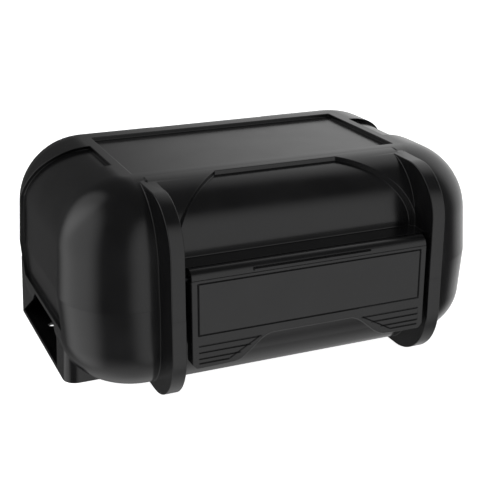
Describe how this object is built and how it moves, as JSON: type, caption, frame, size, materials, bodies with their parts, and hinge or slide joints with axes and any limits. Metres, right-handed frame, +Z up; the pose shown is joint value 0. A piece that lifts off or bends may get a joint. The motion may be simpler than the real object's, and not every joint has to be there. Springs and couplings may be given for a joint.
{
  "type": "rodent bait station",
  "caption": "Black moulded rodent bait station: rounded hinged lid on a floor tub, latch door between two front ribs, end entries, inner baffles, tray and baits on rods.",
  "frame": {"origin": "on the floor, under the middle of the whole box", "axes": "+X along the length from the left end to the right end seen from the front, +Y from the front door towards the rear hinge, +Z up"},
  "size_m": [0.3078, 0.233, 0.142],
  "materials": {
    "shell_plastic": "semi-gloss moulded black",
    "inner_plastic": "satin moulded black",
    "steel": "drawn wire",
    "rubber": "matt",
    "bait": "waxy"
  },
  "bodies": {
    "base": {"base_tub": "shell_plastic", "baffle_left": "inner_plastic", "baffle_right": "inner_plastic", "lid_hinge_pin_left": "steel", "lid_hinge_pin_right": "steel"},
    "lid": {"lid_shell": "shell_plastic", "door_hinge_rod": "steel"},
    "door": {"latch_door": "shell_plastic"},
    "tray": {"bait_tray": "inner_plastic"},
    "baits_front": {"bait_rod_front": "steel", "rod_cap_front": "rubber", "bait_block_front_1": "bait", "bait_block_front_2": "bait", "bait_block_front_3": "bait", "bait_block_front_4": "bait"},
    "baits_rear": {"bait_rod_rear": "steel", "rod_cap_rear": "rubber", "bait_block_rear_1": "bait", "bait_block_rear_2": "bait", "bait_block_rear_3": "bait", "bait_block_rear_4": "bait"}
  },
  "joints": [
    {"name": "lid_hinge", "type": "hinge", "parent": "base", "child": "lid", "pos_m": [0, 0.1131, 0.065], "axis": [-1, 0, 0], "range_deg": [0, 100]},
    {"name": "door_hinge", "type": "hinge", "parent": "lid", "child": "door", "pos_m": [0, -0.11, 0.0905], "axis": [-1, 0, 0], "range_deg": [0, 110]},
    {"name": "tray_lift", "type": "slide", "parent": "base", "child": "tray", "axis": [0, 0, 1], "range_m": [0, 0.015]},
    {"name": "front_rod_lift", "type": "slide", "parent": "base", "child": "baits_front", "axis": [0, 0, 1], "range_m": [0, 0.035]},
    {"name": "rear_rod_lift", "type": "slide", "parent": "base", "child": "baits_rear", "axis": [0, 0, 1], "range_m": [0, 0.035]}
  ]
}
